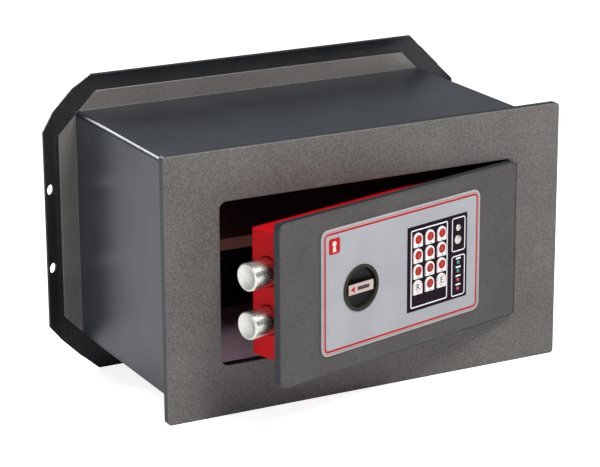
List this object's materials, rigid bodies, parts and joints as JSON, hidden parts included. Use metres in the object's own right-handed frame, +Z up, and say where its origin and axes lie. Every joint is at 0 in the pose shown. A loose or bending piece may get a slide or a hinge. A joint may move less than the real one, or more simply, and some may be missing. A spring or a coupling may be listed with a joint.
{
  "type": "wall safe",
  "caption": "Wall safe with a flush steel door standing ajar, round bolts, a turning knob, a numeric key panel, a shelf inside and a lipped back panel for building into masonry.",
  "frame": {"origin": "centre of the back panel's flat rear face", "axes": "+X to the right as seen from the front, +Y from the front into the wall, +Z up; the door faces -Y"},
  "size_m": [0.3858, 0.2741, 0.2538],
  "materials": {
    "face_paint": "fine-textured satin paint, warm grey",
    "body_paint": "satin paint, neutral grey",
    "back_paint": "satin paint, dark grey",
    "plain_steel": "machined steel, oiled",
    "bright_steel": "ground steel",
    "zinc_sheet": "zinc-plated sheet",
    "screw_zinc": "zinc-plated",
    "bolt_nickel": "nickel-plated, satin turned",
    "bronze": "sintered bronze",
    "shelf_paint": "satin paint",
    "felt": "pressed felt",
    "panel_print": "printed polycarbonate film on aluminium, satin",
    "keypad_dark": "moulded, semi-gloss",
    "key_white": "moulded, semi-gloss, printed legend",
    "board_green": "lacquered board",
    "ribbon_grey": "flat ribbon",
    "contact_nickel": "nickel-plated",
    "lens_green": "clear lens",
    "lens_red": "clear lens",
    "knob_black": "fine-grained moulding",
    "inlay_grey": "brushed",
    "red_paint": "semi-gloss paint",
    "coil_copper": "enamelled copper winding",
    "holder_black": "moulded",
    "battery_wrap": "shrink sleeve",
    "spacer_white": "nylon"
  },
  "bodies": {
    "safe_body": {"front_plate": "face_paint", "body_shell": "body_paint", "back_panel": "back_paint", "bolt_keeper": "plain_steel", "shelf": "shelf_paint", "shelf_rails": "shelf_paint", "floor_mat": "felt", "hinge_bracket_upper": "plain_steel", "hinge_bracket_lower": "plain_steel", "hinge_pin_upper": "bright_steel", "hinge_pin_lower": "bright_steel", "hinge_washers": "bronze"},
    "door": {"door_plate": "face_paint", "hinge_arm_upper": "plain_steel", "hinge_arm_lower": "plain_steel", "arm_screws": "screw_zinc", "face_panel": "panel_print", "keypad_frame": "keypad_dark", "keypad_board": "board_green", "keypad_cable": "ribbon_grey", "power_contacts": "contact_nickel", "led_green": "lens_green", "led_red": "lens_red", "knob_bezel": "knob_black", "spindle_bush": "bronze", "lock_chassis": "zinc_sheet", "board_spacers": "spacer_white", "bolt_guide": "plain_steel", "rack_guide": "plain_steel", "solenoid": "zinc_sheet", "solenoid_coil": "coil_copper", "lock_cover": "red_paint", "cover_posts": "zinc_sheet", "cover_screws": "screw_zinc", "battery_holder": "holder_black", "batteries": "battery_wrap", "control_board": "board_green"},
    "knob": {"knob": "knob_black", "knob_inlay": "inlay_grey", "spindle": "bright_steel", "pinion": "plain_steel", "pinion_pin": "bright_steel"},
    "bolts": {"bolt_carrier": "zinc_sheet", "bolt_upper": "bolt_nickel", "bolt_lower": "bolt_nickel", "bolt_screws": "screw_zinc"},
    "plunger": {"plunger": "bright_steel"},
    "key_1": {"key_1": "key_white"},
    "key_2": {"key_2": "key_white"},
    "key_3": {"key_3": "key_white"},
    "key_4": {"key_4": "key_white"},
    "key_5": {"key_5": "key_white"},
    "key_6": {"key_6": "key_white"},
    "key_7": {"key_7": "key_white"},
    "key_8": {"key_8": "key_white"},
    "key_9": {"key_9": "key_white"},
    "key_reset": {"key_reset": "key_white"},
    "key_0": {"key_0": "key_white"},
    "key_enter": {"key_enter": "key_white"}
  },
  "joints": [
    {"name": "door_swing", "type": "hinge", "parent": "safe_body", "child": "door", "pos_m": [0.1495, -0.187, 0], "axis": [0, 0, 1], "range_deg": [-7.8, 75]},
    {"name": "bolt_slide", "type": "slide", "parent": "door", "child": "bolts", "axis": [0.9659, 0.2588, 0], "range_m": [0, 0.01649]},
    {"name": "knob_turn", "type": "hinge", "parent": "door", "child": "knob", "pos_m": [-0.04134, -0.23399, -0.0013], "axis": [-0.2588, 0.9659, 0], "range_deg": [0, 90]},
    {"name": "plunger_slide", "type": "slide", "parent": "door", "child": "plunger", "axis": [0, 0, -1], "range_m": [0, 0.004]},
    {"name": "key_1_press", "type": "slide", "parent": "door", "child": "key_1", "axis": [-0.2588, 0.9659, 0], "range_m": [0, 0.0008], "stiffness_N_per_m": 400},
    {"name": "key_2_press", "type": "slide", "parent": "door", "child": "key_2", "axis": [-0.2588, 0.9659, 0], "range_m": [0, 0.0008], "stiffness_N_per_m": 400},
    {"name": "key_3_press", "type": "slide", "parent": "door", "child": "key_3", "axis": [-0.2588, 0.9659, 0], "range_m": [0, 0.0008], "stiffness_N_per_m": 400},
    {"name": "key_4_press", "type": "slide", "parent": "door", "child": "key_4", "axis": [-0.2588, 0.9659, 0], "range_m": [0, 0.0008], "stiffness_N_per_m": 400},
    {"name": "key_5_press", "type": "slide", "parent": "door", "child": "key_5", "axis": [-0.2588, 0.9659, 0], "range_m": [0, 0.0008], "stiffness_N_per_m": 400},
    {"name": "key_6_press", "type": "slide", "parent": "door", "child": "key_6", "axis": [-0.2588, 0.9659, 0], "range_m": [0, 0.0008], "stiffness_N_per_m": 400},
    {"name": "key_7_press", "type": "slide", "parent": "door", "child": "key_7", "axis": [-0.2588, 0.9659, 0], "range_m": [0, 0.0008], "stiffness_N_per_m": 400},
    {"name": "key_8_press", "type": "slide", "parent": "door", "child": "key_8", "axis": [-0.2588, 0.9659, 0], "range_m": [0, 0.0008], "stiffness_N_per_m": 400},
    {"name": "key_9_press", "type": "slide", "parent": "door", "child": "key_9", "axis": [-0.2588, 0.9659, 0], "range_m": [0, 0.0008], "stiffness_N_per_m": 400},
    {"name": "key_reset_press", "type": "slide", "parent": "door", "child": "key_reset", "axis": [-0.2588, 0.9659, 0], "range_m": [0, 0.0008], "stiffness_N_per_m": 400},
    {"name": "key_0_press", "type": "slide", "parent": "door", "child": "key_0", "axis": [-0.2588, 0.9659, 0], "range_m": [0, 0.0008], "stiffness_N_per_m": 400},
    {"name": "key_enter_press", "type": "slide", "parent": "door", "child": "key_enter", "axis": [-0.2588, 0.9659, 0], "range_m": [0, 0.0008], "stiffness_N_per_m": 400}
  ],
  "couplings": [
    {"joint": "knob_turn", "follows": "bolt_slide", "rad_per_m": 95.238}
  ]
}
